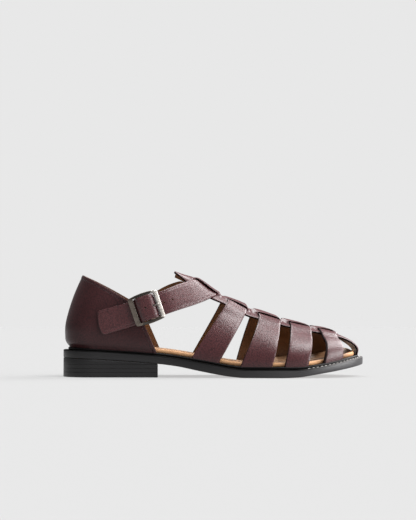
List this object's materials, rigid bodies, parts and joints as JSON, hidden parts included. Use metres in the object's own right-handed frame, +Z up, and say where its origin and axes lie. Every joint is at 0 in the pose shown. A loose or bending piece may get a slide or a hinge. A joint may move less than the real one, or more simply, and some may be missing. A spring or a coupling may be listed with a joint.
{
  "type": "fisherman sandal",
  "caption": "Closed-heel fisherman sandal for the right foot: woven leather cross straps under a centre band, a buckled ankle strap and a black stacked-look sole.",
  "frame": {"origin": "centre of the bounding box on the floor, below the middle of the sole", "axes": "+X towards the toe, +Z up, -Y towards the outer (little toe) side, where the buckle is"},
  "size_m": [0.298, 0.103, 0.1043],
  "materials": {
    "sole": "satin black sole edge with fine lift lines in the heel",
    "rim": "polished black edge",
    "insole": "smooth natural tan",
    "upper": "pebbled burgundy with a broad satin sheen",
    "lining": "smooth brown flesh side",
    "thread": "waxed sewing thread",
    "buckle": "antique silver, bare"
  },
  "bodies": {
    "root": {"outsole": "sole", "heel": "sole", "midsole": "rim", "insole": "insole", "straps": "upper", "quarter": "upper", "buckle_tab": "upper", "buckle_frame": "buckle", "buckle_prong": "buckle"}
  },
  "joints": []
}
